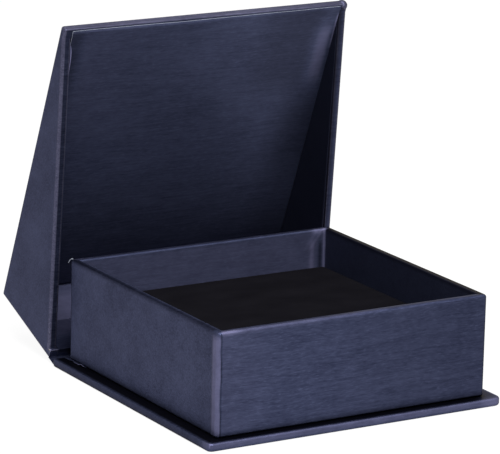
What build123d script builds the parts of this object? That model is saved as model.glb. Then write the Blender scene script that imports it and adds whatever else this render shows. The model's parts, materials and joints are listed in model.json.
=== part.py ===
from build123d import *
import os
from math import cos, hypot, radians, sin, sqrt

# Hinged presentation box in covered greyboard: a tray on a base board, and a wedge-shaped lid
# (top panel, back panel, two triangular gussets) on a paper hinge at the base's back edge.
# The origin is the centre of the base's underside, +Z up, the front towards -Y. Millimetres.

# ---- driving dimensions ----------------------------------------------------------------------

# sheet materials
paper = 0.15                   # covering and lining paper
tape = 0.10                    # stay tape at board joints; the glue layer beside it is as thick

# tray, outside its covering paper
tray_width = 82.0
tray_depth = 79.5
tray_height = 27.95
wall_board = 1.8
floor_board = 1.8
tray_corner_radius = 1.3
tray_rim_radius = 0.8          # outer edge of the rim
tray_foot_radius = 0.6         # lower edge, which leaves a shadow gap over the base
tray_lining_depth = 18.0       # covering paper turned down inside the walls
tray_turn_in = 12.0            # covering paper turned in below the floor
corner_tape_leg = 10.0

# base board
base_side_margin = 4.0         # base showing beside the tray
base_front_margin = 3.1        # base showing in front of it
base_board_thickness = 1.9
base_corner_radius = 1.3       # in plan
base_edge_radius = 0.55        # round the covered edge
base_turn_in = 14.0            # covering paper turned in on top

# pad
pad_drop = 10.1                # top of the pad below the rim
pad_side_gap = 0.25
pad_card_thickness = 1.0
pad_cover_thickness = 0.5
pad_corner_radius = 1.0
pad_edge_radius = 0.8

# lid, with its closed clearances to the tray and the base
lid_panel = 2.4                # board and its covering papers
lid_play = 1.0                 # lining above the tray's rim
lid_side_clearance = 0.8       # lining beside the tray's walls
lid_back_clearance = 0.35      # lining behind the tray's back wall
lid_lip_reach = 6.2            # top panel past the tray's front, to lift it by
lid_edge_radius = 0.45
gusset_setback = 2.8           # gusset's tip on the lining, behind the lip
gusset_lift = 1.8              # gusset's lower corner above the base
lid_turn_in = 12.0
lip_liner_setback = 0.6        # lining paper back from the lip
rim_liner_setback = 1.5        # lining paper back from the slanted rims
edge_tape_leg = 8.0

# hinge
hinge_crease = 0.2             # open crease along the turning line
back_board_lift = 1.7          # back board's lower edge above the base, lid closed
hinge_liner_reach = 12.0       # inner hinge paper on each board
hinge_liner_lap = 3.0          # back lining over the inner hinge paper
lid_open_angle = 68.0          # from closed, as it stands

# ---- worked out from them --------------------------------------------------------------------

base_thickness = base_board_thickness + 2*paper
hinge_offset = 2*paper + hinge_crease
tray_back_margin = lid_panel + paper - hinge_offset + lid_back_clearance
base_width = tray_width + 2*base_side_margin
base_depth = base_front_margin + tray_depth + tray_back_margin
tray_top = base_thickness + tray_height
tray_y = base_depth/2 - tray_back_margin - tray_depth/2
tray_foot = Plane((0, tray_y, base_thickness))
board_inset = paper + tape
wall_inside = board_inset + wall_board
wall_lined = wall_inside + paper
floor_top = paper + floor_board
cavity_width = tray_width - 2*wall_lined
cavity_depth = tray_depth - 2*wall_lined

hinge_y = base_depth/2
hinge_z = hinge_offset
opened = radians(lid_open_angle)
# Section through the lid, seen from the side. With the lid closed its x is +Y and its y is +Z,
# both from the turning line; here it is turned back by the open angle.
lid_section = Plane(origin=(0, hinge_y, hinge_z), x_dir=(0, cos(opened), -sin(opened)), z_dir=(1, 0, 0))
lid_back = hinge_offset
lid_top = tray_top + lid_play + paper + lid_panel - hinge_z
lid_lip = lid_back - (lid_lip_reach + tray_depth + lid_back_clearance + paper + lid_panel)
lid_half = tray_width/2 + lid_side_clearance + paper + lid_panel
lid_board = lid_panel - 2*paper - tape
inner_back = lid_back - lid_panel
inner_top = lid_top - lid_panel
hinge_bare = base_thickness - hinge_z + back_board_lift
gusset_length = lid_back - lid_lip - gusset_setback
gusset_drop = inner_top + hinge_z - base_thickness - gusset_lift
rim_slope = gusset_drop/gusset_length
rim_length = hypot(gusset_drop, gusset_length)
lip_outward = Axis((0, 0, 0), -lid_section.x_dir)
top_outward = Axis((0, 0, 0), lid_section.y_dir)

os.makedirs("parts", exist_ok=True)


def finish(piece, name):
    """Label a finished piece and write it to its own STEP file."""
    piece.part.label = name
    export_step(piece.part, f"parts/{name}.step")


def pressed_edge(radius, inset):
    """Leg of the flat pressed on a board's edge, inside a rounding of that radius at that depth."""
    return (2 - sqrt(2))*(radius - inset)


def rim_height(along, inset):
    """Height of the gusset's slanted rim at a place along the lid, moved inwards by inset."""
    return inner_top - rim_slope*(along - lid_back + gusset_length) + inset*rim_length/gusset_length


def rim_place(height, inset):
    """Place along the lid where the slanted rim, moved inwards by inset, is at that height."""
    return lid_back - gusset_length + (inner_top + inset*rim_length/gusset_length - height)/rim_slope


def gusset_points(top, back, inset):
    """Corners of a gusset: under a height, in front of a place, and inside the slanted rim."""
    return [(back, top), (rim_place(top, inset), top), (back, rim_height(back, inset))]


def rounded_edges(solid):
    """Edges of the lid's outer form that are rounded: round the lip, both sides and the back corner."""
    lip = solid.faces().sort_by(lip_outward)[-1].edges()
    outline = solid.faces().sort_by(Axis.X)
    corner = solid.edges().filter_by(Axis.X).sort_by(top_outward).group_by(top_outward)[-1]
    return ShapeList(set(lip + outline[0].edges() + outline[-1].edges() + corner))


# ---- base ------------------------------------------------------------------------------------

base_core_depth = base_depth - 2*paper

with BuildPart() as base_board:
    with BuildSketch(Plane.XY.offset(paper)):
        RectangleRounded(base_width - 2*paper, base_core_depth, base_corner_radius - paper)
    extrude(amount=base_board_thickness)
    chamfer(base_board.edges().group_by(Axis.Z)[-1], pressed_edge(base_edge_radius, paper))
    chamfer(base_board.edges().group_by(Axis.Z)[0], pressed_edge(base_edge_radius, paper))
finish(base_board, "base_board")

# Covering paper: the slab's skin, open on top inside the turned-in margins and open at the back.
with BuildPart() as base_wrap:
    with BuildSketch():
        RectangleRounded(base_width, base_depth, base_corner_radius)
    extrude(amount=base_thickness)
    fillet(base_wrap.edges().group_by(Axis.Z)[-1], base_edge_radius)
    fillet(base_wrap.edges().group_by(Axis.Z)[0], base_edge_radius)
    add(base_board.part, mode=Mode.SUBTRACT)
    with BuildSketch(Plane.XY.offset(base_thickness - paper)):
        Rectangle(base_width - 2*base_turn_in, base_depth - 2*base_turn_in)
    extrude(amount=paper, mode=Mode.SUBTRACT)
    with BuildSketch(Plane((0, base_depth/2, paper))):
        Rectangle(base_width, 2*hinge_liner_reach)
    extrude(amount=base_thickness, mode=Mode.SUBTRACT)
finish(base_wrap, "base_wrap")

with BuildPart() as base_hinge_liner:
    with BuildSketch():
        RectangleRounded(base_width, base_depth, base_corner_radius)
    extrude(amount=base_thickness)
    fillet(base_hinge_liner.edges().group_by(Axis.Z)[-1], base_edge_radius)
    fillet(base_hinge_liner.edges().group_by(Axis.Z)[0], base_edge_radius)
    add(base_board.part, mode=Mode.SUBTRACT)
    with BuildSketch(Plane((0, base_depth/2, paper))):
        Rectangle(base_width, 2*hinge_liner_reach)
    extrude(amount=base_thickness, mode=Mode.INTERSECT)
finish(base_hinge_liner, "base_hinge_liner")

# ---- tray ------------------------------------------------------------------------------------

with BuildPart() as tray_floor:
    with BuildSketch(tray_foot.offset(paper)):
        Rectangle(tray_width - 2*wall_inside, tray_depth - 2*wall_inside)
    extrude(amount=floor_board)
finish(tray_floor, "tray_floor")

# The four walls as one ring with its rounded corners and rim; each wall is then cut from it.
with BuildPart() as wall_ring:
    with BuildSketch(tray_foot.offset(paper)):
        RectangleRounded(tray_width - 2*board_inset, tray_depth - 2*board_inset,
                         tray_corner_radius - board_inset)
    extrude(amount=tray_height - 2*paper)
    chamfer(wall_ring.edges().group_by(Axis.Z)[-1], pressed_edge(tray_rim_radius, board_inset))
    chamfer(wall_ring.edges().group_by(Axis.Z)[0], pressed_edge(tray_foot_radius, board_inset))
    with BuildSketch(tray_foot.offset(paper)):
        Rectangle(tray_width - 2*wall_inside, tray_depth - 2*wall_inside)
    extrude(amount=tray_height, mode=Mode.SUBTRACT)

front_joint = Plane.XZ.offset(tray_depth/2 - wall_inside - tray_y)
back_joint = Plane.XZ.offset(-(tray_depth/2 - wall_inside) - tray_y)
left_joint = Plane.YZ.offset(-(tray_width/2 - wall_inside))
right_joint = Plane.YZ.offset(tray_width/2 - wall_inside)

with BuildPart() as tray_front_wall:
    add(wall_ring.part)
    split(bisect_by=front_joint, keep=Keep.TOP)
finish(tray_front_wall, "tray_front_wall")

with BuildPart() as tray_back_wall:
    add(wall_ring.part)
    split(bisect_by=back_joint, keep=Keep.BOTTOM)
finish(tray_back_wall, "tray_back_wall")

with BuildPart() as tray_left_wall:
    add(wall_ring.part)
    split(bisect_by=front_joint, keep=Keep.BOTTOM)
    split(bisect_by=back_joint, keep=Keep.TOP)
    split(bisect_by=left_joint, keep=Keep.BOTTOM)
finish(tray_left_wall, "tray_left_wall")

with BuildPart() as tray_right_wall:
    add(wall_ring.part)
    split(bisect_by=front_joint, keep=Keep.BOTTOM)
    split(bisect_by=back_joint, keep=Keep.TOP)
    split(bisect_by=right_joint, keep=Keep.TOP)
finish(tray_right_wall, "tray_right_wall")

# Four tapes folded round the corners, in the layer between the boards and the covering paper.
tape_rise = tray_foot_radius + paper
tape_height = tray_height - tray_foot_radius - tray_rim_radius - 2*paper
with BuildPart() as tray_corner_tapes:
    with BuildSketch(tray_foot.offset(tape_rise)):
        RectangleRounded(tray_width - 2*paper, tray_depth - 2*paper, tray_corner_radius - paper)
        RectangleRounded(tray_width - 2*board_inset, tray_depth - 2*board_inset,
                         tray_corner_radius - board_inset, mode=Mode.SUBTRACT)
        Rectangle(tray_width, tray_depth - 2*corner_tape_leg, mode=Mode.SUBTRACT)
        Rectangle(tray_width - 2*corner_tape_leg, tray_depth, mode=Mode.SUBTRACT)
    extrude(amount=tape_height)
finish(tray_corner_tapes, "tray_corner_tapes")

# Covering paper: outside, over the rim and down inside; below, only the turned-in margin.
with BuildPart() as tray_wrap:
    with BuildSketch(tray_foot):
        RectangleRounded(tray_width, tray_depth, tray_corner_radius)
    extrude(amount=tray_height)
    fillet(tray_wrap.edges().group_by(Axis.Z)[-1], tray_rim_radius)
    fillet(tray_wrap.edges().group_by(Axis.Z)[0], tray_foot_radius)
    with BuildSketch(tray_foot.offset(floor_top)):
        Rectangle(cavity_width, cavity_depth)
    extrude(amount=tray_height, mode=Mode.SUBTRACT)
    with BuildSketch(tray_foot):
        Rectangle(tray_width - 2*tray_turn_in, tray_depth - 2*tray_turn_in)
    extrude(amount=floor_top, mode=Mode.SUBTRACT)

with BuildPart() as wall_space:
    with BuildSketch(tray_foot.offset(paper)):
        RectangleRounded(tray_width - 2*paper, tray_depth - 2*paper, tray_corner_radius - paper)
    extrude(amount=tray_height - 2*paper)
    chamfer(wall_space.edges().group_by(Axis.Z)[-1], pressed_edge(tray_rim_radius, paper))
    chamfer(wall_space.edges().group_by(Axis.Z)[0], pressed_edge(tray_foot_radius, paper))
    with BuildSketch(tray_foot.offset(tray_height - tray_lining_depth)):
        Rectangle(tray_width - 2*wall_inside, tray_depth - 2*wall_inside)
    extrude(amount=tray_lining_depth, mode=Mode.SUBTRACT)

with BuildPart() as tray_wrap_sheet:
    add(tray_wrap.part)
    add(wall_space.part, mode=Mode.SUBTRACT)
finish(tray_wrap_sheet, "tray_wrap")

# ---- pad -------------------------------------------------------------------------------------

pad_width = cavity_width - 2*pad_side_gap
pad_depth = cavity_depth - 2*pad_side_gap
pad_height = tray_height - pad_drop - floor_top
pad_foot = tray_foot.offset(floor_top)

with BuildPart() as pad_card:
    with BuildSketch(pad_foot):
        Rectangle(pad_width - 2*pad_cover_thickness - 2*pad_corner_radius,
                  pad_depth - 2*pad_cover_thickness - 2*pad_corner_radius)
    extrude(amount=pad_card_thickness)
finish(pad_card, "pad_card")

with BuildPart() as pad_foam:
    with BuildSketch(pad_foot.offset(pad_card_thickness)):
        RectangleRounded(pad_width - 2*pad_cover_thickness, pad_depth - 2*pad_cover_thickness,
                         pad_corner_radius - pad_cover_thickness)
    extrude(amount=pad_height - pad_card_thickness - pad_cover_thickness)
    fillet(pad_foam.edges().group_by(Axis.Z)[-1], pad_edge_radius - pad_cover_thickness)
finish(pad_foam, "pad_foam")

with BuildPart() as pad_cover:
    with BuildSketch(pad_foot):
        RectangleRounded(pad_width, pad_depth, pad_corner_radius)
    extrude(amount=pad_height)
    fillet(pad_cover.edges().group_by(Axis.Z)[-1], pad_edge_radius)
    with BuildSketch(pad_foot):
        RectangleRounded(pad_width - 2*pad_cover_thickness, pad_depth - 2*pad_cover_thickness,
                         pad_corner_radius - pad_cover_thickness)
    extrude(amount=pad_card_thickness, mode=Mode.SUBTRACT)
    add(pad_foam.part, mode=Mode.SUBTRACT)
finish(pad_cover, "pad_cover")

# ---- lid boards ------------------------------------------------------------------------------

board_top = lid_top - board_inset
board_back = lid_back - board_inset
board_under = inner_top + paper
board_front = inner_back + paper
board_half = lid_half - board_inset

# Top and back board meet in a 45 degree mitre at the upper back corner.
with BuildPart() as lid_top_board:
    with BuildSketch(lid_section):
        with BuildLine():
            Polyline((lid_lip + paper, board_top), (board_back, board_top),
                     (board_front, board_under), (lid_lip + paper, board_under), close=True)
        make_face()
    extrude(amount=board_half, both=True)
    lip_edges = lid_top_board.faces().sort_by(lip_outward)[-1].edges()
    long_edges = lid_top_board.edges().filter_by(lip_outward)
    fillet(lip_edges + long_edges, lid_edge_radius - paper)
finish(lid_top_board, "lid_top_board")

with BuildPart() as lid_back_board:
    with BuildSketch(lid_section):
        with BuildLine():
            Polyline((board_back, board_top), (board_back, hinge_bare + paper),
                     (board_front, hinge_bare + paper), (board_front, board_under), close=True)
        make_face()
    extrude(amount=board_half, both=True)
finish(lid_back_board, "lid_back_board")

for side, outward in (("left", -1), ("right", 1)):
    with BuildPart() as gusset_board:
        with BuildSketch(lid_section.offset(outward*(board_half - lid_board/2))):
            with BuildLine():
                Polyline(*gusset_points(board_under, board_front, board_inset), close=True)
            make_face()
        extrude(amount=lid_board/2, both=True)
    finish(gusset_board, f"gusset_{side}_board")

# ---- lid papers ------------------------------------------------------------------------------

# Covering paper: the skin of the whole lid, turned in round the lip and the slanted rims.
with BuildPart() as lid_skin:
    with BuildSketch(lid_section):
        with BuildLine():
            Polyline((lid_lip, lid_top), (lid_back, lid_top), (lid_back, hinge_bare),
                     (inner_back, hinge_bare), (inner_back, inner_top), (lid_lip, inner_top), close=True)
        make_face()
    extrude(amount=lid_half, both=True)
    for outward in (-1, 1):
        with BuildSketch(lid_section.offset(outward*(lid_half - lid_panel/2))):
            with BuildLine():
                Polyline(*gusset_points(inner_top, lid_back, 0), close=True)
            make_face()
        extrude(amount=lid_panel/2, both=True)
    fillet(rounded_edges(lid_skin), lid_edge_radius)

with BuildPart() as board_space:
    with BuildSketch(lid_section):
        with BuildLine():
            Polyline((lid_lip + paper, lid_top - paper), (lid_back - paper, lid_top - paper),
                     (lid_back - paper, hinge_bare), (inner_back, hinge_bare),
                     (inner_back, board_under), (lid_lip + paper, board_under), close=True)
        make_face()
    extrude(amount=lid_half - paper, both=True)
    for outward in (-1, 1):
        with BuildSketch(lid_section.offset(outward*(lid_half - lid_panel/2))):
            with BuildLine():
                Polyline(*gusset_points(board_under, lid_back - paper, paper), close=True)
            make_face()
        extrude(amount=lid_panel/2 - paper, both=True)
    fillet(rounded_edges(board_space), lid_edge_radius - paper)

with BuildPart() as lid_wrap:
    add(lid_skin.part)
    add(board_space.part, mode=Mode.SUBTRACT)
    with BuildSketch(lid_section):
        with BuildLine():
            Polyline(*gusset_points(board_under, inner_back + paper, lid_turn_in), close=True)
        make_face()
    extrude(amount=lid_half - lid_panel + paper, both=True, mode=Mode.SUBTRACT)
    with BuildSketch(lid_section):
        with BuildLine():
            Polyline((lid_lip + lid_turn_in, board_under), (inner_back + paper, board_under),
                     (inner_back + paper, inner_top), (lid_lip + lid_turn_in, inner_top), close=True)
        make_face()
    extrude(amount=lid_half - lid_turn_in, both=True, mode=Mode.SUBTRACT)
finish(lid_wrap, "lid_wrap")

# Tapes over the joints between the gussets and the two panels, under the covering paper.
tape_edge = lid_edge_radius
tape_low = board_under - edge_tape_leg
tape_front = board_front - edge_tape_leg
with BuildPart() as lid_edge_tapes:
    for outward in (-1, 1):
        with BuildSketch(lid_section.offset(outward*(board_half + tape/2))):
            with BuildLine():
                Polyline((rim_place(board_under, tape_edge), lid_top - tape_edge),
                         (lid_back - tape_edge, lid_top - tape_edge),
                         (lid_back - tape_edge, rim_height(board_front, tape_edge)),
                         (board_front, rim_height(board_front, tape_edge)),
                         (tape_front, rim_height(tape_front, tape_edge)), (tape_front, tape_low),
                         (rim_place(tape_low, tape_edge), tape_low),
                         (rim_place(board_under, tape_edge), board_under), close=True)
            make_face()
        extrude(amount=tape/2, both=True)
finish(lid_edge_tapes, "lid_edge_tapes")

liner_half = lid_half - lid_panel - paper
liner_under = inner_top - paper
liner_front = inner_back - paper
back_liner_low = hinge_bare + hinge_liner_reach - hinge_liner_lap

with BuildPart() as lid_top_liner:
    with BuildSketch(lid_section):
        with BuildLine():
            Polyline((lid_lip + lip_liner_setback, inner_top), (inner_back, inner_top),
                     (inner_back, liner_under), (lid_lip + lip_liner_setback, liner_under), close=True)
        make_face()
    extrude(amount=liner_half, both=True)
finish(lid_top_liner, "lid_top_liner")

with BuildPart() as lid_back_liner:
    with BuildSketch(lid_section):
        with BuildLine():
            Polyline((inner_back, liner_under), (liner_front, liner_under),
                     (liner_front, back_liner_low),
                     (inner_back, back_liner_low), close=True)
        make_face()
    extrude(amount=liner_half, both=True)
finish(lid_back_liner, "lid_back_liner")

for side, outward in (("left", -1), ("right", 1)):
    with BuildPart() as gusset_liner:
        with BuildSketch(lid_section.offset(outward*(liner_half + paper/2))):
            with BuildLine():
                Polyline(*gusset_points(inner_top, inner_back, rim_liner_setback), close=True)
            make_face()
        extrude(amount=paper/2, both=True)
    finish(gusset_liner, f"gusset_{side}_liner")

# ---- hinge papers ----------------------------------------------------------------------------

with BuildPart() as hinge_cover:
    with BuildSketch(lid_section):
        with BuildLine():
            Polyline((lid_back, hinge_crease), (lid_back, hinge_bare),
                     (lid_back - paper, hinge_bare), (lid_back - paper, hinge_crease), close=True)
        make_face()
    extrude(amount=lid_half, both=True)
finish(hinge_cover, "hinge_cover")

# Inner hinge paper: against the outer one, round the back board's lower edge and up its face.
# Under that edge it runs past the gussets to the lid's rounded sides.
with BuildPart() as lid_hinge_liner:
    with BuildSketch(lid_section):
        with BuildLine():
            Polyline((lid_back - paper, hinge_crease), (lid_back - paper, hinge_bare + paper),
                     (inner_back + paper, hinge_bare + paper),
                     (inner_back + paper, hinge_bare + hinge_liner_reach),
                     (inner_back, hinge_bare + hinge_liner_reach), (inner_back, hinge_bare),
                     (lid_back - 2*paper, hinge_bare), (lid_back - 2*paper, hinge_crease), close=True)
        make_face()
    extrude(amount=lid_half - lid_panel, both=True)
    with BuildSketch(lid_section):
        with BuildLine():
            Polyline((lid_back - paper, hinge_bare), (lid_back - paper, hinge_bare + paper),
                     (inner_back + paper, hinge_bare + paper), (inner_back + paper, hinge_bare), close=True)
        make_face()
    extrude(amount=lid_half - lid_edge_radius, both=True)
finish(lid_hinge_liner, "lid_hinge_liner")
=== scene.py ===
"""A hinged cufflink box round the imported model: covered boards, linings, a paper hinge and a velvet pad."""
import json

import bpy
import numpy as np
from mathutils import Matrix, Vector


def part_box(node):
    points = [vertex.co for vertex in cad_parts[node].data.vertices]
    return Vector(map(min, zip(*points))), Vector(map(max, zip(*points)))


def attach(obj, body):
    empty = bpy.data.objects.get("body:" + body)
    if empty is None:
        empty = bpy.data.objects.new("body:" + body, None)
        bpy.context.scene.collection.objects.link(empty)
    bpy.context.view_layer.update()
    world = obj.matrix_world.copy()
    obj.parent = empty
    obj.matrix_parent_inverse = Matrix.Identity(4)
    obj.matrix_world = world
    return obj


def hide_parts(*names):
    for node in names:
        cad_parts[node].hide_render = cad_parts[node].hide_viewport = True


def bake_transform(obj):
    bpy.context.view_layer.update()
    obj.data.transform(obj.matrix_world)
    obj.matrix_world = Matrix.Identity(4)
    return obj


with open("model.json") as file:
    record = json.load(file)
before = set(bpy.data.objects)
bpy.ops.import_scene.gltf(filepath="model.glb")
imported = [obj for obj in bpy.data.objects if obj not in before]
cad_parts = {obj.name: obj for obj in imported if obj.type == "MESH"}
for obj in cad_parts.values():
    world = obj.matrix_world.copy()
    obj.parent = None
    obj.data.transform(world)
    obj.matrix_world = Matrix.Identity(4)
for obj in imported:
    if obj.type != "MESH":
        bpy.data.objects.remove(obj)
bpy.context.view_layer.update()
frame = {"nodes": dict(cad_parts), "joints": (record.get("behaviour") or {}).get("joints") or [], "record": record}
nodes = frame["nodes"]
scene = bpy.context.scene
mm = 0.001


# ---- camera ----------------------------------------------------------------------------------
# A long lens, nearly a metre away: it looks down on the box from its front left corner.

azimuth, elevation, roll = np.radians((-31.14, 14.55, 1.36))
eye = np.array((-489.94, -796.35, 286.37))*mm
back = np.array((np.sin(azimuth)*np.cos(elevation), -np.cos(azimuth)*np.cos(elevation), np.sin(elevation)))
level = np.cross((0, 0, 1), back)/np.cos(elevation)
rise = np.cross(back, level)
right = level*np.cos(roll) + rise*np.sin(roll)
upward = rise*np.cos(roll) - level*np.sin(roll)

camera = bpy.data.objects.new("camera", bpy.data.cameras.new("camera"))
camera.data.sensor_width, camera.data.lens = 36.0, 262.3
camera.data.clip_start, camera.data.clip_end = 0.05, 20.0
camera.matrix_world = Matrix((*zip(right, upward, back, eye), (0, 0, 0, 1)))
scene.collection.objects.link(camera)
scene.camera = camera
scene.view_settings.view_transform = "Standard"


# ---- studio ----------------------------------------------------------------------------------
# A white table top under a large soft lamp from the front left, a softer one overhead and a pale room.
# The camera and reflections see the table and the room as white, and the table keeps the box's shadow.

class Shade:
    """A shader socket. Sums and products of sockets and numbers add their Math nodes to the tree."""

    def __init__(self, tree, socket=None):
        self.tree, self.socket = tree, socket

    def node(self, kind, settings=None, sockets=None, output=0):
        """Adds a node: its settings first, then values or links for its sockets. Gives one of its outputs."""
        made = self.tree.nodes.new(kind)
        for name, value in (settings or {}).items():
            setattr(made, name, value)
        for name, value in (sockets or {}).items():
            if isinstance(value, Shade):
                self.tree.links.new(value.socket, made.inputs[name])
            else:
                made.inputs[name].default_value = value
        return Shade(self.tree, made.outputs[output])

    def feed(self, shader, name):
        """Links this socket to one of a shader's."""
        self.tree.links.new(self.socket, shader.inputs[name])

    def math(self, operation, *terms):
        return self.node("ShaderNodeMath", {"operation": operation}, dict(enumerate(terms)))

    def __add__(self, other):
        return self.math("ADD", self, other)

    def __sub__(self, other):
        return self.math("SUBTRACT", self, other)

    def __rsub__(self, other):
        return self.math("SUBTRACT", other, self)

    def __mul__(self, other):
        return self.math("MULTIPLY", self, other)

    __radd__, __rmul__ = __add__, __mul__

    def seen(self):
        """One for camera rays, reflections and rays through glass; nought for light that falls on things."""
        looking, mirrored, through = (self.node("ShaderNodeLightPath", output=f"Is {kind} Ray")
                                      for kind in ("Camera", "Glossy", "Transmission"))
        return self.math("MINIMUM", looking + mirrored + through, 1.0)


table_white, shadow_kept, table_bright = (0.78, 0.78, 0.78, 1), 0.14, 1.08
table = bpy.data.materials.new("white_table")
table.use_nodes = True
table_tree = Shade(table.node_tree)
table.node_tree.nodes.remove(table.node_tree.nodes["Principled BSDF"])
table_diffuse = table_tree.node("ShaderNodeBsdfDiffuse", sockets={"Color": table_white})
table_glow = table_tree.node("ShaderNodeEmission", sockets={"Color": (1, 1, 1, 1), "Strength": table_bright})
table_mix = table_tree.node("ShaderNodeMixShader", sockets={0: table_tree.seen()*(1 - shadow_kept),
                                                            1: table_diffuse, 2: table_glow})
table_mix.feed(table.node_tree.nodes["Material Output"], "Surface")

table_half, table_under = 6.0, 0.05*mm
corners = np.array(((-1, -1, 0), (1, -1, 0), (1, 1, 0), (-1, 1, 0)))*table_half - (0, 0, table_under)
table_mesh = bpy.data.meshes.new("table_top")
table_mesh.from_pydata(corners.tolist(), [], [(0, 1, 2, 3)])
table_mesh.materials.append(table)
table_top = bpy.data.objects.new("table_top", table_mesh)
scene.collection.objects.link(table_top)

room_level = 0.3
world = bpy.data.worlds.new("pale_room")
world.use_nodes = True
scene.world = world
room = Shade(world.node_tree)
(room.seen()*(1 - room_level) + room_level).feed(world.node_tree.nodes["Background"], "Strength")
world.node_tree.nodes["Background"].inputs["Color"].default_value = (1, 1, 1, 1)


lit_middle = Vector((0, 0, 0.04))


def softbox(name, place, size, power):
    """A square lamp that faces the middle of the box."""
    lamp = bpy.data.objects.new(name, bpy.data.lights.new(name, "AREA"))
    lamp.data.size, lamp.data.energy = size, power
    lamp.location = place
    lamp.rotation_euler = (lamp.location - lit_middle).to_track_quat("Z", "Y").to_euler()
    scene.collection.objects.link(lamp)


softbox("key_lamp", (-0.25, -0.85, 1.15), 0.8, 25.0)
softbox("top_lamp", (0.05, 0.10, 1.20), 0.7, 4.0)


# ---- boards ----------------------------------------------------------------------------------
# Greyboard, pressed from waste paper, cut square and butted together. Nearly all of it is covered:
# what stays in view is its fibre and flecks, a little rough, where the papers stop.

def new_finish(name, **constants):
    """A material with these constants on its shader. Gives it, a tree to build on and the shader."""
    material = bpy.data.materials.new(name)
    material.use_nodes = True
    shader = material.node_tree.nodes["Principled BSDF"]
    for key, value in constants.items():
        shader.inputs[key.replace("_", " ").title().replace("Ior", "IOR")].default_value = value
    return material, Shade(material.node_tree), shader


def noise(tree, place, scale, detail=2.0, rough=0.5):
    """Noise from 0 to 1 whose lumps are 1/scale metres along each axis."""
    stretched = tree.node("ShaderNodeMapping", sockets={"Vector": place, "Scale": scale})
    return tree.node("ShaderNodeTexNoise", sockets={"Vector": stretched, "Scale": 1.0, "Detail": detail,
                                                    "Roughness": rough})


def between(tree, share, first, second):
    """The colour that lies this share of the way from the first to the second."""
    first, second = (colour if isinstance(colour, Shade) else (*colour, 1) for colour in (first, second))
    return tree.node("ShaderNodeMix", {"data_type": "RGBA", "clamp_factor": True},
                     {0: share, 6: first, 7: second}, output=2)


def fibre_finish(name, dark, light, roughness, lump):
    """Board, card, tape or foam: soft fibre noise between two colours, its lumps of the given length, and a
    fainter grain at a fifth of that. Both raise the surface too."""
    fibre_share, grain_share, middling, fuzz, fuzz_height = 1.6, 0.4, 0.5, 0.6, 0.03*mm
    material, tree, shader = new_finish(name, roughness=roughness, specular_ior_level=0.2)
    place = tree.node("ShaderNodeTexCoord", output="Object")
    fibre = noise(tree, place, (1/lump, 1/lump, 1/lump), 4.0, 0.65)
    grain = noise(tree, place, (5/lump, 5/lump, 5/lump))
    mix = fibre*fibre_share + grain*grain_share - middling
    between(tree, mix, dark, light).feed(shader, "Base Color")
    tree.node("ShaderNodeBump", sockets={"Strength": fuzz, "Distance": fuzz_height,
                                         "Height": fibre + grain}).feed(shader, "Normal")
    return material


finishes = {"greyboard": fibre_finish("greyboard", (0.20, 0.19, 0.17), (0.42, 0.40, 0.36), 0.85, 0.5*mm),
            "pad_card": fibre_finish("pad_card", (0.30, 0.28, 0.25), (0.48, 0.45, 0.40), 0.80, 0.35*mm),
            "stay_tape": fibre_finish("stay_tape", (0.30, 0.20, 0.11), (0.45, 0.32, 0.20), 0.60, 0.8*mm),
            "pad_foam": fibre_finish("pad_foam", (0.02, 0.02, 0.022), (0.07, 0.07, 0.075), 0.95, 0.6*mm)}


# ---- covering paper --------------------------------------------------------------------------
# Dark navy pearl paper, brushed along the box's width. Fine streaks, long and a little wavy, change its
# colour and its gloss; broad soft patches come from the pearl pigment. It folds round every edge.

def brushed_paper(name, dark, light, roughness, streak_depth, pearl):
    """Streaks are noise stretched along X and bent by a broad noise. They move the colour between dark and
    light, the roughness by up to a tenth either way and the surface by about ten microns. Where a mesh's
    "worn" is above nought the paper is paler, rubbed and with painted highlights, and below
    nought it is darker, creased and with painted shade."""
    streaked, clouded, mottled, flecked, fleck_least, middling = 2.7, 0.8, 0.5, 4.0, 0.60, 1.55
    pale_amount, pale_mottled, gloss_change = 0.6, 0.8, 0.3
    material, tree, shader = new_finish(name, metallic=pearl, specular_ior_level=0.08,
                                        specular_tint=(0.55, 0.52, 0.46, 1))
    place = tree.node("ShaderNodeTexCoord", output="Object")
    worn = tree.node("ShaderNodeAttribute", {"attribute_name": "worn"}, output="Fac")
    bend = tree.node("ShaderNodeTexNoise", sockets={"Vector": place, "Scale": 60.0, "Detail": 1.0},
                     output="Color")
    wavy = tree.node("ShaderNodeVectorMath", {"operation": "MULTIPLY_ADD"},
                     {0: bend, 1: (0, 1.6*mm, 1.6*mm), 2: place})
    long = noise(tree, wavy, (90, 1700, 1700), 3.0, 0.6)
    short = noise(tree, wavy, (600, 3400, 3400), 3.0, 0.6)
    cloud = noise(tree, place, (38, 75, 75))
    mottle = noise(tree, place, (260, 330, 330))
    streak = long*0.5 + short*0.5
    fleck = tree.math("MAXIMUM", short - fleck_least, 0.0)
    mix = streak*streaked + cloud*clouded + mottle*mottled + fleck*flecked - middling
    brushed = between(tree, mix, dark, light)
    rubbed = between(tree, worn*(mottle*pale_mottled + pale_amount), brushed, rub_and_highlight_pale)
    between(tree, 0 - worn, rubbed, crease_and_shade_dark).feed(shader, "Base Color")
    (roughness + (streak - 0.5)*gloss_change).feed(shader, "Roughness")
    tree.node("ShaderNodeBump", sockets={"Strength": 1.0, "Distance": streak_depth, "Height": streak}).feed(
        shader, "Normal")
    return material


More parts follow.
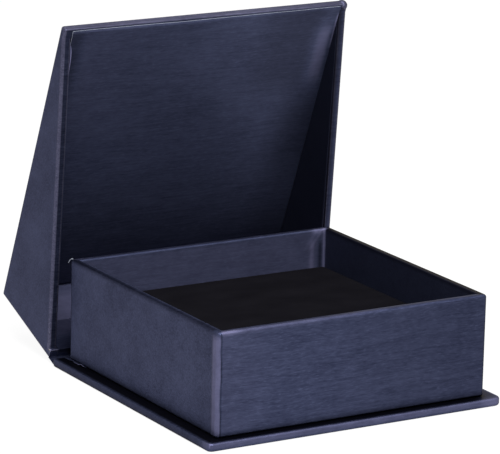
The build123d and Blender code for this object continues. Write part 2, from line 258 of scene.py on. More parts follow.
navy_dark, navy_light = (0.027, 0.032, 0.066), (0.064, 0.074, 0.139)
# Pale for rubbed paper and for painted highlights, dark for creases and for painted shade.
rub_and_highlight_pale, crease_and_shade_dark = (0.16, 0.158, 0.275), (0.004, 0.004, 0.008)
cover = brushed_paper("navy_pearl_paper", navy_dark, navy_light, 0.45, 0.03*mm, 0.92)
lining_dark, lining_light = (0.032, 0.0375, 0.074), (0.059, 0.068, 0.127)
lining = brushed_paper("navy_lining_paper", lining_dark, lining_light, 0.42, 0.02*mm, 0.52)
# Paler paper for the lid's lip, folds and knob: handling wear with a painted highlight.
handled_highlit_dark, handled_highlit_light = (0.046, 0.047, 0.082), (0.105, 0.106, 0.170)
handled_and_highlit = brushed_paper("navy_paper_edges", handled_highlit_dark, handled_highlit_light, 0.45, 0.03*mm, 0.92)
core = fibre_finish("paper_core", (0.16, 0.18, 0.24), (0.34, 0.36, 0.42), 0.7, 0.4*mm)
finishes.update({"covering_paper": cover, "lining_paper": lining})

for part in frame["record"]["subparts"]:
    if part["material_slot"] in finishes:
        nodes[part["node"]].material_slots[0].material = finishes[part["material_slot"]]


# ---- base paper ------------------------------------------------------------------------------
# One sheet round the base board: flat below, over the edges and turned in on top as a broad margin.
# Its corners are folded over in plan, so they are rounder than the board's.

least_turn = 0.05*mm


def arc(inset, height, radius, start, end, steps=6):
    """Part of a circle as (inset, height) points. The angle is 0 outward, 90 up, 180 inward."""
    turn = np.radians(np.linspace(start, end, steps + 1))
    return np.stack((inset - radius*np.cos(turn), height + radius*np.sin(turn)), 1)


def fine(points, longest):
    """The same open line with more points on it, none further apart than longest. Points are told apart
    to a tenth of a micron."""
    run = np.concatenate(((0,), np.cumsum(np.hypot(*np.diff(points, axis=0).T))))
    stops = np.unique(np.round(np.concatenate((run, np.arange(0, run[-1], longest))), 7))
    return np.stack([np.interp(stops, run, column) for column in points.T], 1)


def round_box(low, high, radius, profile, quarter=6, side=60):
    """Carries a profile of (inset, height) points round a rounded rectangle, anticlockwise from its +X side.
    Each corner is a quarter turn whose radius shrinks by the inset; points crowd towards the corners. One
    radius is for all four, and four are for back right, back left, front left and front right."""
    inset = profile[:, 0][:, None, None, None]
    turned = np.maximum(np.reshape(radius, (-1, 1, 1)) - inset, least_turn)
    sign = np.array(((1, 1), (-1, 1), (-1, -1), (1, -1)))[None, :, None, :]
    angle = np.radians(90*np.arange(4)[:, None] + np.linspace(0, 90, quarter + 1))
    spoke = np.stack((np.cos(angle), np.sin(angle)), -1)[None]
    half = (np.array(high[:2]) - np.array(low[:2]))/2
    corner = sign*(half - inset - turned) + turned*spoke
    share = (1 - np.cos(np.pi*np.arange(1, side)/side))[None, None, :, None]/2
    straight = corner[:, :, -1:] + (np.roll(corner[:, :, :1], -1, axis=1) - corner[:, :, -1:])*share
    plan = np.concatenate((corner, straight), axis=2).reshape(len(profile), -1, 2)
    plan = plan + (np.array(high[:2]) + np.array(low[:2]))/2
    height = np.broadcast_to(profile[:, 1][:, None], plan.shape[:2])
    return np.dstack((plan, low[2] + height))


def piece(name, mesh, body, materials, sharp=40):
    """Puts a finished mesh in the scene, smooth but for edges sharper than this. It rides on the body named,
    if there is one; a strip that bends has none."""
    mesh.polygons.foreach_set("use_smooth", np.ones(len(mesh.polygons), bool))
    mesh.set_sharp_from_angle(angle=np.radians(sharp))
    for material in materials:
        mesh.materials.append(material)
    made = bpy.data.objects.new(name, mesh)
    scene.collection.objects.link(made)
    if body:
        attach(made, body)
    return made


def grid_mesh(name, grid, loop_rows=False, loop_columns=False, caps=(False, False)):
    """A mesh from points in rows and columns, faces outward where rows go up and columns anticlockwise. A
    loop joins the last row or column to the first; a cap closes the first or last row with a flat face."""
    rows, columns = grid.shape[:2]
    index = np.arange(rows*columns).reshape(rows, columns)
    if loop_rows:
        index = np.vstack((index, index[:1]))
    if loop_columns:
        index = np.hstack((index, index[:, :1]))
    around = (index[:-1, :-1], index[:-1, 1:], index[1:, 1:], index[1:, :-1])
    faces = np.stack(around, -1).reshape(-1, 4).tolist()
    if caps[0]:
        faces.append(index[0, :columns][::-1].tolist())
    if caps[1]:
        faces.append(index[rows - 1, :columns].tolist())
    mesh = bpy.data.meshes.new(name)
    mesh.from_pydata(grid.reshape(-1, 3).tolist(), [], faces)
    return mesh


def ease(value, start, end):
    """Rises smoothly from 0 to 1 as the value goes from start to end."""
    share = np.clip((value - start)/(end - start), 0, 1)
    return share*share*(3 - 2*share)


def paint_wear_and_light(mesh, amount):
    """Gives a mesh made from a grid its "worn": above nought paler, from rubbing and painted
    highlights, below nought darker, from creases and painted shade.
    """
    worn = mesh.attributes.new("worn", "FLOAT", "POINT")
    worn.data.foreach_set("value", np.ravel(amount).astype(np.float32))


paper = 0.15*mm
base_low, base_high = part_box("base_wrap")
base_high.y = -base_low.y
base_top = base_high.z - base_low.z
base_edge, base_turn, base_corners = 0.6*mm, 14*mm, np.array((1.5, 1.5, 1.5, 2.6))*mm

base_outer = np.concatenate((arc(base_edge, base_edge, base_edge, -90, 0),
                             arc(base_edge, base_top - base_edge, base_edge, 0, 90),
                             ((base_turn, base_top),)))
base_inner = np.concatenate((((base_turn, base_top - paper),),
                             arc(base_edge, base_top - base_edge, base_edge - paper, 90, 0),
                             arc(base_edge, base_edge, base_edge - paper, 0, -90)))
base_profile = fine(np.concatenate((base_outer, base_inner)), 1.2*mm)
base_skin = round_box(base_low, base_high, base_corners, base_profile, quarter=14, side=60)

# A painted highlight lies along the upper edges, and painted shade darkens the margin, less at the right and
# hardly on the front right tip, which has a painted highlight too. Painted shade darkens the left edge. A pale
# crease crosses the front left corner.
edge_highlight, crease_rub, tip_highlight = 0.30, 0.80, 0.35
margin_shade, right_margin_shade, tip_margin_kept, left_shade = 0.95, 0.50, 0.15, 0.55
from_left, from_front = base_skin[..., 0] - base_low.x, base_skin[..., 1] - base_low.y
from_right, from_back = base_high.x - base_skin[..., 0], base_high.y - base_skin[..., 1]
inset = np.minimum.reduce((from_left, from_right, from_front, from_back))
height = base_skin[..., 2] - base_low.z
on_margin = ease(inset, 0.6*mm, 1.3*mm)
margin_dark = right_margin_shade + (margin_shade - right_margin_shade)*ease(from_right, 3*mm, 4.5*mm)
tip_margin = (1 - ease(from_front + from_right, 5*mm, 10*mm))*(1 - ease(from_front, 1.5*mm, 3.5*mm))
margin_dark *= 1 - (1 - tip_margin_kept)*tip_margin
crease_line = np.exp(-((from_left - from_front)/(0.22*mm))**2)*(from_left + from_front < 3*mm)
crease_line *= ease(height, 0.9*mm, 1.6*mm)*(1 - ease(inset, 1*mm, 2*mm))
base_wear_and_light = edge_highlight*ease(height, 0.3*mm, 1.2*mm)*(1 - ease(inset, 0.35*mm, 0.8*mm))
base_wear_and_light -= margin_dark*on_margin
base_wear_and_light -= left_shade*(1 - ease(from_left, 0.3*mm, 0.9*mm))*ease(from_front, 2*mm, 6*mm)
base_wear_and_light += crease_rub*crease_line
base_wear_and_light += tip_highlight*(1 - ease(from_front + from_right, 3*mm, 9*mm))*(1 - on_margin)
base_mesh = grid_mesh("base_paper", base_skin, loop_columns=True, caps=(True, True))
paint_wear_and_light(base_mesh, base_wear_and_light)
base_paper = piece("base_paper", base_mesh, "base", [cover])
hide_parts("base_wrap", "base_hinge_liner")

# The board inside has the same corners, with its edges pressed round.
board_low, board_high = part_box("base_board")
board_edge, board_height = base_edge - paper, board_high.z - board_low.z
board_profile = np.concatenate((arc(board_edge, board_edge, board_edge, -90, 0),
                                arc(board_edge, board_height - board_edge, board_edge, 0, 90)))
board_skin = round_box(board_low, board_high, base_corners - paper, board_profile, quarter=14, side=2)
board_mesh = grid_mesh("base_greyboard", board_skin, loop_columns=True, caps=(True, True))
base_board = piece("base_greyboard", board_mesh, "base", [finishes["greyboard"]])
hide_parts("base_board")


# ---- tray paper ------------------------------------------------------------------------------
# One sheet round the four walls, over the rim and down inside, and turned in below the floor. It starts
# and ends at the front left corner: a lap stands up there beside a fine dark seam, with a painted highlight at the
# fold.

tray_low, tray_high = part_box("tray_wrap")
tray_height = tray_high.z - tray_low.z
tray_corner, tray_rim, tray_lip, tray_foot = 1.2*mm, 0.8*mm, 0.5*mm, 0.6*mm
tray_lined, tray_depth_inside, tray_turn = 2.2*mm, 18*mm, 12*mm

tray_outer = fine(np.concatenate((arc(tray_foot, tray_foot, tray_foot, -90, 0),
                                  arc(tray_rim, tray_height - tray_rim, tray_rim, 0, 90))), 1.0*mm)
tray_inner = fine(np.concatenate((arc(tray_lined - tray_lip, tray_height - tray_lip, tray_lip, 90, 180),
                                  ((tray_lined, tray_height - tray_depth_inside),))), 0.8*mm)
tray_under = fine(np.concatenate((((tray_lined - paper, tray_height - tray_depth_inside),),
                                  arc(tray_lined - tray_lip, tray_height - tray_lip, tray_lip - paper,
                                      180, 90),
                                  arc(tray_rim, tray_height - tray_rim, tray_rim - paper, 90, 0),
                                  arc(tray_foot, tray_foot, tray_foot - paper, 0, -90),
                                  ((tray_turn, paper), (tray_turn, 0)))), 3*mm)
tray_profile = np.concatenate((tray_outer, tray_inner, tray_under))
tray_skin = round_box(tray_low, tray_high, tray_corner, tray_profile, quarter=16, side=110)
tray_wear_and_light = np.zeros(tray_skin.shape[:2])
inside_rows = slice(len(tray_outer), len(tray_outer) + len(tray_inner))
outside, outer_wear_and_light = tray_skin[:len(tray_outer)], tray_wear_and_light[:len(tray_outer)]
inner_face, inner_painted_light = tray_skin[inside_rows], tray_wear_and_light[inside_rows]

# The lap at the front left corner, from its soft start on the left side to its cut edge on the front. The
# seam beside it wanders a little on its way up.
lap_start, lap_full, lap_rise = 3.4*mm, 2.3*mm, 0.09*mm
seam_place, seam_width, seam_depth = 0.95*mm, 0.24*mm, 0.13*mm
from_left, from_front = outside[..., 0] - tray_low.x, outside[..., 1] - tray_low.y
up = (outside[..., 2] - tray_low.z)/tray_height
wander = 0.10*mm*np.sin(up*13) + 0.05*mm*np.sin(up*37)
near = (from_left < 4*mm) & (from_front < 4*mm)
round_corner = np.where(from_left < from_front, -from_front, from_left)
lap = ease(round_corner, -lap_start, -lap_full)*(1 - ease(round_corner, seam_place - 0.1*mm, seam_place))*near
on_front = from_front < tray_corner
seam = np.exp(-((round_corner - seam_place - wander)/seam_width)**2)*near*on_front
spoke = np.minimum(np.dstack((from_left, from_front)) - tray_corner, -1e-6)
spoke /= np.linalg.norm(spoke, axis=2, keepdims=True)
below_top = ease(1 - up, 0.0, 0.04)
outside[..., :2] += spoke*(lap_rise*lap - seam_depth*seam)[..., None]*below_top[..., None]

# Outside, the lap and the front rim have a painted highlight, and the front rim is rubbed pale, most at the
# left corner. The seam is a dark glue line with painted shade in it, the foot has a painted shadow, the side
# rims have painted shade, and the front wall has a painted highlight at its left end and painted shade that
# grows a little from left to right.
lap_highlight, front_rim_highlight, corner_rim_rub, left_end_highlight = 0.50, 0.25, 0.50, 0.08
seam_shade, foot_shade, left_rim_shade, right_rim_shade, front_shade = 0.60, 0.90, 0.60, 0.90, 0.25
top_row = outside[-1]
tray_middle, tray_half = (tray_low.y + tray_high.y)/2, (tray_high.y - tray_low.y)/2
on_sides = np.abs(top_row[:, 0])/tray_high.x > np.abs(top_row[:, 1] - tray_middle)/tray_half
side_rim_shade = -np.where(top_row[:, 0] > 0, right_rim_shade, left_rim_shade)
front_rim_highlight_and_rub = front_rim_highlight + corner_rim_rub*(1 - ease(top_row[:, 0] - tray_low.x, 3*mm, 8*mm))
rim_light_and_rub = np.where(on_sides, side_rim_shade, front_rim_highlight_and_rub)
across = outside[..., 0]/tray_high.x
front_painted_light = left_end_highlight*(1 - ease(across, -1, -0.5)) - front_shade*ease(across, -0.45, 0.45)
outer_wear_and_light += lap_highlight*lap*ease(1 - up, 0.02, 0.07) - seam_shade*seam
outer_wear_and_light += ease(up, 0.955, 1.0)*(1 - lap)*rim_light_and_rub + front_painted_light*on_front
outer_wear_and_light -= foot_shade*(1 - ease(up*tray_height, 0.2*mm, 0.9*mm))

# The turned-in flap at the back right corner inside: a double layer with diagonal wrinkles from the corner.
flap_width, flap_rise, wrinkle_rise = 4.4*mm, 0.18*mm, 0.14*mm
wrinkle_sizes, wrinkle_places = (1.0, 0.7), (1.0*mm, 2.6*mm)
from_right = tray_high.x - tray_lined - inner_face[..., 0]
from_rim = tray_high.z - inner_face[..., 2]
on_back = tray_high.y - tray_lined - inner_face[..., 1] < 0.4*mm
on_right = (from_right < 0.4*mm) & ~on_back
flap = on_back*(1 - ease(from_right, flap_width - 0.5*mm, flap_width + 0.4*mm))*ease(from_rim, 0.3*mm, 1.5*mm)
wrinkles = on_back*sum(size*np.exp(-((from_right - 0.75*from_rim - place)/(0.5*mm))**2)
                       for size, place in zip(wrinkle_sizes, wrinkle_places))*(1 - ease(from_rim, 4*mm, 7*mm))
inner_face[..., 1] -= flap_rise*flap + wrinkle_rise*wrinkles*ease(from_rim, 0.3*mm, 1.0*mm)

# Inside, the flap's edge and fold, its wrinkles and the rim's corner have painted highlights, with a painted
# shadow between. Painted light makes the back wall a little paler than the rest, and painted shade darkens the
# right wall, which faces away.
flap_edge_highlight, fold_highlight, wrinkle_highlight, flap_rim_highlight, back_wall_light = 0.45, 0.65, 0.25, 0.50, 0.16
flap_shade, right_wall_shade = 0.80, 0.45
flap_edge = np.exp(-((from_right - flap_width)/(0.7*mm))**2)*ease(from_rim, 2*mm, 5*mm)
fold_edge = np.exp(-((from_right - 0.5*mm)/(0.32*mm))**2)
flap_shadow = np.exp(-((from_right - 1.7*mm)/(0.6*mm))**2)*ease(from_rim, 2*mm, 5*mm)
corner_rim = (1 - ease(from_right, 3*mm, 6*mm))*(1 - ease(from_rim, 0.3*mm, 1.2*mm))
below_rim = ease(from_rim, 0.3*mm, 0.9*mm)
back_painted_light = flap_edge_highlight*flap_edge + fold_highlight*fold_edge + flap_rim_highlight*corner_rim + back_wall_light*below_rim
inner_painted_light += on_back*(back_painted_light - flap_shade*flap_shadow) + wrinkle_highlight*wrinkles
inner_painted_light -= on_right*(right_rim_shade + (right_wall_shade - right_rim_shade)*below_rim)

tray_mesh = grid_mesh("tray_paper", tray_skin, loop_rows=True, loop_columns=True)
paint_wear_and_light(tray_mesh, tray_wear_and_light)
tray_paper = piece("tray_paper", tray_mesh, "base", [cover, lining])
turned_in = np.zeros(tray_skin.shape[:2], np.int32)
turned_in[inside_rows] = 1
tray_mesh.polygons.foreach_set("material_index", turned_in.ravel())
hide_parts("tray_wrap")

# A torn tip of the paper curls off the rim at the back left corner and shows its pale core. It narrows
# towards its end and arches over on the way.
tip_root = np.array((tray_low.x + 0.75*mm, tray_high.y - 0.40*mm, tray_high.z + 0.02*mm))
tip_reach = np.array((-1.25*mm, 0.40*mm, -1.0*mm))
tip_across, tip_half, tip_arch, tip_taper = np.array((0.53, 0.85, 0)), 0.34*mm, 0.5*mm, 0.8
tip_run, tip_side = np.meshgrid(np.linspace(0, 1, 14), np.linspace(-1, 1, 7))
tip_grid = tip_root + tip_run[..., None]*tip_reach
tip_grid[..., 2] += tip_arch*np.sin(np.pi*tip_run)
tip_grid += (tip_half*(1 - tip_taper*tip_run**2)*tip_side)[..., None]*tip_across
torn_tip = piece("torn_paper_tip", grid_mesh("torn_paper_tip", tip_grid), "base", [core])
tip_body = torn_tip.modifiers.new("thickness", "SOLIDIFY")
tip_body.thickness, tip_body.offset = 0.12*mm, 0.0


# ---- velvet pad ------------------------------------------------------------------------------
# Black velvet over foam on a card, pressed into the tray. The top swells very slightly towards the middle,
# its edges are soft, and its sides pull in a little between the corners.

pad_low, pad_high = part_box("pad_cover")
pad_height = pad_high.z - pad_low.z
pad_edge, pad_corner, pad_crown, pad_pull = 1.6*mm, 2.0*mm, 0.35*mm, 0.25*mm
pad_inset, pad_rings, least_ring, crown_power, side_reach = 0.6*mm, 31, 0.02, 2.5, 0.93

# The sides are carried round, and their top row shrinks in rings towards the middle. The crown is a product
# of two curves that are flat in the middle; the pull is greatest half way up and half way along each side.
pad_top_edge = arc(pad_edge, pad_height - pad_crown - pad_edge, pad_edge, 0, 90, 10)
pad_side = np.concatenate((((pad_inset, 0.0),), pad_top_edge))
pad_wall = round_box(pad_low, pad_high, pad_corner, fine(pad_side, 1.5*mm))
middle, pad_half = (np.array(pad_low) + np.array(pad_high))/2, (np.array(pad_high) - np.array(pad_low))/2
shrink = np.linspace(1, least_ring, pad_rings + 1)[1:, None, None]
pad_top = middle + (pad_wall[-1:] - middle)*shrink
pad_top[..., 2] = pad_wall[-1, 0, 2]
pad_skin = np.concatenate((pad_wall, pad_top))
from_middle = pad_skin[..., :2] - middle[:2]
reach = np.abs(from_middle)/pad_half[:2]
inner_reach, at_side = np.clip(reach, 0, 1), reach > side_reach
swell = np.prod(1 - inner_reach**crown_power, axis=-1)
lean = np.sin(np.pi*np.clip((pad_skin[..., 2] - pad_low.z)/pad_height, 0, 1))
pad_skin[..., :2] -= pad_pull*lean[..., None]*(1 - inner_reach[..., ::-1]**2)*at_side*np.sign(from_middle)
pad_skin[..., 2] += pad_crown*swell

velvet, velvet_tree, velvet_shader = new_finish("black_velvet", roughness=1.0, specular_ior_level=0.0,
                                                sheen_weight=0.03, sheen_roughness=0.4,
                                                sheen_tint=(0.75, 0.72, 0.9, 1))
velvet_place = velvet_tree.node("ShaderNodeTexCoord", output="Object")
nap = noise(velvet_tree, velvet_place, (5200, 5200, 5200), 2.0)
brush = noise(velvet_tree, velvet_place, (90, 140, 140), 3.0)
velvet_dark, velvet_light = (0.003, 0.0028, 0.0038), (0.0068, 0.0064, 0.0083)
brushed_share, nap_share, middling = 1.5, 0.5, 0.5
velvet_mix = brush*brushed_share + nap*nap_share - middling
between(velvet_tree, velvet_mix, velvet_dark, velvet_light).feed(velvet_shader, "Base Color")
velvet_tree.node("ShaderNodeBump", sockets={"Strength": 0.8, "Distance": 0.06*mm, "Height": nap}).feed(
    velvet_shader, "Normal")

velvet_pad = piece("velvet_pad", grid_mesh("velvet_pad", pad_skin, loop_columns=True, caps=(True, True)),
                   "base", [velvet])
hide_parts("pad_cover", "pad_foam")
nodes["pad_cover"].material_slots[0].material = velvet


# ---- lid paper -------------------------------------------------------------------------------
# One sheet round the lid's four boards: the top panel, which reaches past the gussets as a lip, the back
# panel and the two gussets. It folds round the outer edges and turns in over the lip and the slanted rims.

hinge = frame["joints"][0]
hinge_y, hinge_z = hinge["pos_m"][1], hinge["pos_m"][2]
opened = -np.radians(hinge["range_deg"][0])


def open_lid(points):
    """Turns points (x, back, up) of the closed lid, measured from the hinge line, to where the open lid has
    them: back and up turn together about the hinge line by the open angle."""
    x, back_from, up_from = np.moveaxis(np.asarray(points, float), -1, 0)
    return np.stack((x, hinge_y + back_from*np.cos(opened) + up_from*np.sin(opened),
                     hinge_z - back_from*np.sin(opened) + up_from*np.cos(opened)), -1)


def closed_box(node):
    """Lowest and highest (x, back, up) of a lid node with the lid closed, from the hinge line."""
    vertices = nodes[node].data.vertices
    points = np.zeros(len(vertices)*3)
    vertices.foreach_get("co", points)
    x, y, z = points.reshape(-1, 3).T
    back_from = (y - hinge_y)*np.cos(opened) - (z - hinge_z)*np.sin(opened)
    up_from = (y - hinge_y)*np.sin(opened) + (z - hinge_z)*np.cos(opened)
    turned = np.stack((x, back_from, up_from), 1)
    return turned.min(0), turned.max(0)


lid_low, lid_high = closed_box("lid_wrap")
panel, gusset_length, gusset_drop = 2.4*mm, 85.8*mm, 27.3*mm
lid_half, lid_back, lid_top, lid_lip, lid_foot = lid_high[0], lid_high[1], lid_high[2], lid_low[1], lid_low[2]
inner_half, inner_back, inner_top = lid_half - panel, lid_back - panel, lid_top - panel
slope = gusset_drop/gusset_length
kink = lid_back - gusset_length
rim_at_back = inner_top - slope*(inner_back - lid_back + gusset_length)

# Each side has seven corners in outline, as (back, up), and three where its inner face meets the panels.
outline = np.array(((kink, inner_top), (lid_lip, inner_top), (lid_lip, lid_top), (lid_back, lid_top),
                    (lid_back, lid_foot), (inner_back, lid_foot), (inner_back, rim_at_back)))
inside = np.array(((kink, inner_top), (inner_back, inner_top), (inner_back, rim_at_back)))
rim_front, under_lip, foot_back, foot_front, rim_back = 0, 1, 4, 5, 6
in_front, in_corner, in_back = range(len(inside))
lid_points = np.concatenate([np.column_stack((np.full(len(part), x), part))
                             for x, part in ((-lid_half, outline), (lid_half, outline),
                                             (-inner_half, inside), (inner_half, inside))])
left, right_side, left_in, right_in = np.split(np.arange(len(lid_points)), (7, 14, 17))

# Both sides; lip, top, back and foot, all round the outline; then the inner faces of the lip, the back
# panel's lower end, the two rims, the two gussets and the two panels.
lid_faces = [left, right_side[::-1]]
lid_faces += [(left[i + 1], left[i], right_side[i], right_side[i + 1]) for i in range(under_lip, foot_front)]
lid_faces += [
    (left[under_lip], left[rim_front], left_in[in_front],
     right_in[in_front], right_side[rim_front], right_side[under_lip]),
    (left[rim_back], left[foot_front], right_side[foot_front],
     right_side[rim_back], right_in[in_back], left_in[in_back]),
    (left[rim_front], left[rim_back], left_in[in_back], left_in[in_front]),
    (right_side[rim_back], right_side[rim_front], right_in[in_front], right_in[in_back]),
    left_in[::-1],
    right_in,
    (left_in[in_front], left_in[in_corner], right_in[in_corner], right_in[in_front]),
    (left_in[in_corner], left_in[in_back], right_in[in_back], right_in[in_corner])]
lid_mesh = bpy.data.meshes.new("lid_paper")
lid_mesh.from_pydata(open_lid(lid_points).tolist(), [], [[int(end) for end in face] for face in lid_faces])

# Radii of the folds: round outside edges, tighter at the rims' inner edges, below the lip and at the foot,
# and none where the paper folds inward.
fold, rim_fold, tight = 0.85*mm, 0.55*mm, 0.35*mm
ends = np.zeros(len(lid_mesh.edges)*2, int)
lid_mesh.edges.foreach_get("vertices", ends)
ends = ends.reshape(-1, 2)


def joins(*points):
    """Which of the lid's edges have both ends among these points."""
    return np.isin(ends, points).all(1)


foot = joins(*left[[foot_back, foot_front]], *right_side[[foot_back, foot_front]])
below_lip = joins(left[under_lip], right_side[under_lip])
inner_corners = joins(*left_in, *right_in) & np.isin(ends, (left_in[in_corner], right_in[in_corner])).any(1)
lip_crease = joins(left[rim_front], left_in[in_front], right_in[in_front], right_side[rim_front])
back_crease = joins(left[rim_back], left_in[in_back], right_in[in_back], right_side[rim_back])
radius = np.select((inner_corners | lip_crease | back_crease, foot | below_lip,
                    joins(*left, *right_side), joins(*left_in, *right_in)), (0, tight, fold, rim_fold), 0)

# Painted shade darkens the rims' inner edges. The lip's face and every fold show the paler handled paper,
# whose paleness is handling wear and a painted highlight.
left_rim_shade, right_rim_shade, lip_face = 0.3, 0.9, 2
lid_rim_painted_shade = np.zeros(len(lid_points))
lid_rim_painted_shade[left_in], lid_rim_painted_shade[right_in] = -left_rim_shade, -right_rim_shade
paint_wear_and_light(lid_mesh, lid_rim_painted_shade)
weights = lid_mesh.attributes.new("bevel_weight_edge", "FLOAT", "EDGE")
weights.data.foreach_set("value", radius/fold)
lid_paper = piece("lid_paper", lid_mesh, "lid", [cover, handled_and_highlit], sharp=30)
lid_mesh.polygons.foreach_set("material_index", (np.arange(len(lid_faces)) == lip_face).astype(np.int32))
rounding = lid_paper.modifiers.new("folds", "BEVEL")
rounding.limit_method, rounding.width, rounding.segments, rounding.material = "WEIGHT", fold, 5, 1
evening = lid_paper.modifiers.new("flat_faces", "WEIGHTED_NORMAL")
evening.keep_sharp = True
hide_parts("lid_wrap")

# At the lip's right end the paper's folded corner is bunched into a small knob: an egg from circles of
# latitude between its two flat ends.
knob_size = np.array((1.35*mm, 1.35*mm, 1.60*mm))
knob_middle = np.array((lid_half, lid_lip, lid_top)) - np.array((1.20*mm, -1.00*mm, 1.25*mm))
knob_end, knob_rows, knob_columns = 84, 24, 40
tilt = np.radians(np.linspace(-knob_end, knob_end, knob_rows))[:, None]
turn = np.linspace(0, 2*np.pi, knob_columns, endpoint=False)[None]
knob_round = (np.cos(tilt)*np.cos(turn), np.cos(tilt)*np.sin(turn), np.sin(tilt))
knob_grid = np.stack(np.broadcast_arrays(*knob_round), -1)*knob_size + knob_middle
knob_mesh = grid_mesh("folded_corner", open_lid(knob_grid), loop_columns=True, caps=(True, True))
# The knob is of the paler handled paper, with its painted highlight.
piece("folded_corner", knob_mesh, "lid", [handled_and_highlit])


# ---- lid linings -----------------------------------------------------------------------------
# Four sheets glued inside the lid: one on each panel and gusset, cut a little short of the lip and rims.
# Their cut edges show the paper's pale core, and the long one has painted highlights below the lip.

def sheet_piece(name, grid, body, thickness, materials):
    """A sheet from a grid of points on its glued side; the thickness goes the way that its faces look. The
    last material is on its cut edges."""
    made = piece(name, grid_mesh(name, grid), body, materials)
    body_of_paper = made.modifiers.new("thickness", "SOLIDIFY")
    body_of_paper.thickness, body_of_paper.offset = thickness, 1.0
    body_of_paper.material_offset_rim = 1
    return made


def ripple(along, seed, longest, size):
    """A gentle wave of this size: three sines of unlike lengths, shifted by the seed."""
    phase = seed*np.array((1.7, 2.9, 4.3))
    return size*sum(share*np.sin(2*np.pi*along*step/longest + shift)
                    for share, step, shift in zip((0.6, 0.3, 0.2), (1, 2.3, 4.7), phase))


lining_paper, lip_setback = 0.22*mm, 0.6*mm
lining_half = inner_half - paper
share_x, share_a = np.meshgrid(np.sin(np.pi/2*np.linspace(-1, 1, 90)), np.linspace(0, 1, 90))
lining_front = lid_lip + lip_setback + ripple(share_x, 1.0, 2.0, 0.10*mm)
top_grid = np.dstack((share_x*lining_half, lining_front + (inner_back - lining_front)*share_a,
                      np.full_like(share_x, inner_top)))
top_lining = sheet_piece("top_lining", open_lid(top_grid)[::-1], "lid", lining_paper,
                         [lining, core])

# A painted highlight lies along its edge at the right gusset near the lip, inside a band of painted
# reflection. Painted light makes it a little paler near the lip at the left, and painted shade darkens it
# near the lip at the right, towards the back of the lid, along the lower right gusset, beside the band and
# at the left edge.
right_edge_highlight, band_reflection, left_painted_light = 0.80, 0.46, 0.05
middle_shade, back_shade, right_shade = 0.20, 0.45, 0.12
patch_shade, gusset_shade, left_edge_shade = 0.28, 0.42, 0.40
from_lip = top_grid[..., 1] - lid_lip
right_edge = np.exp(-(((1 - share_x)*lining_half - 0.2*mm)/(0.3*mm))**2)
right_edge *= ease(from_lip, 2*mm, 4*mm)*(1 - ease(from_lip, 11*mm, 15*mm))
reflection_band = ease(share_x, 0.78, 0.92)*(1 - ease(share_x, 0.95, 1.0))
reflection_band *= ease(from_lip, 2*mm, 11*mm)*(1 - ease(from_lip, 19*mm, 33*mm))
near_lip = 1 - ease(from_lip, 20*mm, 45*mm)
patch = ease(share_x, 0.3, 0.6)*(1 - ease(share_x, 0.82, 0.93))*(1 - ease(from_lip, 22*mm, 32*mm))
near_gusset = ease(share_x, 0.58, 0.88)*ease(from_lip, 20*mm, 40*mm)*(1 - 0.8*ease(from_lip, 45*mm, 60*mm))
left_edge = ease(-share_x, 0.88, 0.97)*(1 - ease(from_lip, 12*mm, 25*mm))
top_painted_light = right_edge_highlight*right_edge + band_reflection*reflection_band
top_painted_light += near_lip*(left_painted_light*ease(-share_x, 0.2, 1) - right_shade*ease(share_x, 0.2, 1))
top_painted_light -= middle_shade*ease(from_lip, 45*mm, 65*mm) + back_shade*ease(from_lip, 60*mm, 82*mm)
top_painted_light -= patch_shade*patch + gusset_shade*near_gusset + left_edge_shade*left_edge
paint_wear_and_light(top_lining.data, top_painted_light[::-1])
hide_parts("lid_top_liner")

# A painted highlight makes the back panel's lining paler at its left end, less so at its top.
left_end_highlight, top_fade = 0.60, 0.70
back_foot = closed_box("lid_back_liner")[0][2]
share_x, share_b = np.meshgrid(np.linspace(-1, 1, 60), np.linspace(0, 1, 24))
back_grid = np.dstack((share_x*lining_half, np.full_like(share_x, inner_back),
                       back_foot + (inner_top - lining_paper - back_foot)*share_b))
back_lining = sheet_piece("back_lining", open_lid(back_grid), "lid", lining_paper,
                          [lining, lining])
paint_wear_and_light(back_lining.data, left_end_highlight*ease(-share_x, 0.3, 0.6)*(1 - top_fade*ease(share_b, 0.55, 1)))
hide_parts("lid_back_liner")

# The gussets' linings are triangles from their tips behind the lip. The left one stands off at its front
# end: its cut edge curls into the lid, with a painted highlight. The right one faces away from the light and
# has painted shade.
gusset_setback, least_depth = 0.5*mm, 0.02*mm
tip = kink + gusset_setback/slope
share_a, share_b = np.meshgrid(np.linspace(0, 1, 120), np.linspace(0, 1, 30))
along = tip + (inner_back - tip)*share_a
depth = np.maximum(slope*(along - tip), least_depth)
curled = ease(along - tip, -1*mm, 2.2*mm)*(1 - ease(along - tip, 3.2*mm, 8.5*mm))*share_b**3
cut_edge = ease(share_b, 0.8, 0.97)*(1 - ease(along - tip, 6*mm, 9*mm))
for side_name, outward, curl, pale_amount, shade in (("left", -1, 0.6*mm, 0.90, 0), ("right", 1, 0, 0, 0.75)):
    gusset_grid = np.dstack((outward*(inner_half - curl*curled), along, inner_top - depth*share_b))
    gusset_lining = sheet_piece(f"{side_name}_gusset_lining", open_lid(gusset_grid[:, ::outward]), "lid",
                                paper, [lining, lining])
    paint_wear_and_light(gusset_lining.data, (pale_amount*cut_edge - shade)[:, ::outward])
    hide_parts(f"gusset_{side_name}_liner")


# ---- hinge papers ----------------------------------------------------------------------------
# Two strips join the lid to the base along its back edge. The inner one is glued on the base, runs round
# the back board's lower edge and up its face; the outer one is the covering paper, creased at the turn.

def open_rows(rows):
    """Rows of (back, up) of the closed lid, from the hinge line, as (y, z) of the open lid."""
    return open_lid(np.column_stack((np.zeros(len(rows)), rows)))[:, 1:]


def across_box(rows, half):
    """Carries a line of (y, z) rows across the box: a grid of points that crowd towards its two ends."""
    x = half*np.sin(np.pi/2*np.linspace(-1, 1, 60))
    return np.stack(np.broadcast_arrays(x[None], rows[:, :1], rows[:, 1:]), -1)


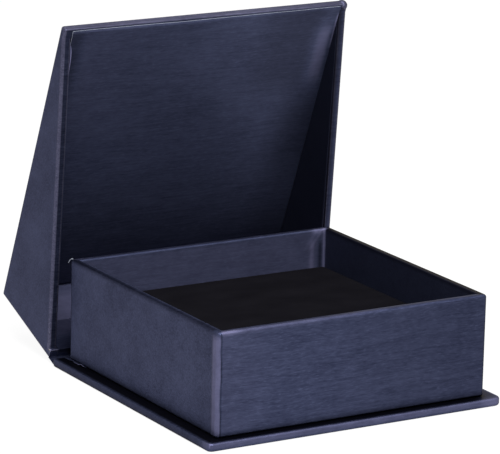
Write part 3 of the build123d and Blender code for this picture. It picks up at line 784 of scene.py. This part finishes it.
crease = 0.45*mm
hinge_half, hinge_reach = inner_half - paper, 12*mm
turn_y = hinge_y - base_edge
edge_turn = np.radians(np.linspace(0, 90, 7))
over_edge = np.stack((turn_y + base_edge*np.sin(edge_turn),
                      base_top - base_edge + base_edge*np.cos(edge_turn)), 1)
lid_rows = open_rows(((lid_back - 2*paper, crease), (lid_back - 2*paper, lid_foot - paper),
                      (inner_back - paper, lid_foot - paper), (inner_back - paper, lid_foot + hinge_reach)))
strip = fine(np.concatenate((((hinge_y - hinge_reach, base_top),), over_edge,
                             ((hinge_y, hinge_z + crease),), lid_rows)), 0.6*mm)
strip_grid = across_box(strip, hinge_half)

# On the base its two ends have come loose: they stand up in puckers and draw in.
pucker_rise, pucker_pull = 0.34*mm, 0.5*mm
on_base = (turn_y - strip_grid[..., 1])/hinge_reach*(strip_grid[..., 2] < base_top + paper)
at_end = ease(np.abs(strip_grid[..., 0]), hinge_half - 0.9*mm, hinge_half)*np.clip(on_base, 0, 1)**0.5
pucker = 1 + ripple(strip_grid[..., 1], 2.0, 5.5*mm, 0.6)
strip_grid[..., 2] += pucker_rise*at_end*pucker
strip_grid[..., 0] -= pucker_pull*at_end*np.sign(strip_grid[..., 0])*(pucker - 1)
hinge_lining = sheet_piece("hinge_lining", strip_grid, None, paper, [cover, cover])

# The loose ends are paler; painted shade darkens the turn up the back board, and a painted highlight
# lights the board's left end.
end_paler, turn_shade, upper_left_highlight = 0.90, 0.50, 0.90
on_lid = ease(strip_grid[..., 2], base_top, base_top + 1*mm)
upper_left = ease(strip_grid[..., 2], base_top + 1*mm, base_top + 5*mm)
upper_left *= ease(-strip_grid[..., 0]/hinge_half, 0.3, 0.6)
paint_wear_and_light(hinge_lining.data, end_paler*ease(at_end, 0.55, 0.95) - turn_shade*on_lid + upper_left_highlight*upper_left)
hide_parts("lid_hinge_liner")
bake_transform(hinge_lining)

# The outer strip starts round the base's lower edge and ends on the back board.
under_turn = np.radians(np.linspace(-50, -10, 5))
under_rows = np.stack((turn_y + base_edge*np.cos(under_turn), base_edge + base_edge*np.sin(under_turn)), 1)
cover_rows = open_rows(((lid_back - paper, crease), (lid_back - paper, lid_foot + paper)))
outer_strip = fine(np.concatenate((under_rows, cover_rows)), 0.3*mm)
outer_grid = across_box(outer_strip, lid_half - paper)
hinge_cover = sheet_piece("hinge_cover_paper", outer_grid[::-1], None, paper,
                          [cover, cover])
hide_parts("hinge_cover")
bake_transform(hinge_cover)


# ---- finish ----------------------------------------------------------------------------------
# The view layer is brought up to date.

bpy.context.view_layer.update()
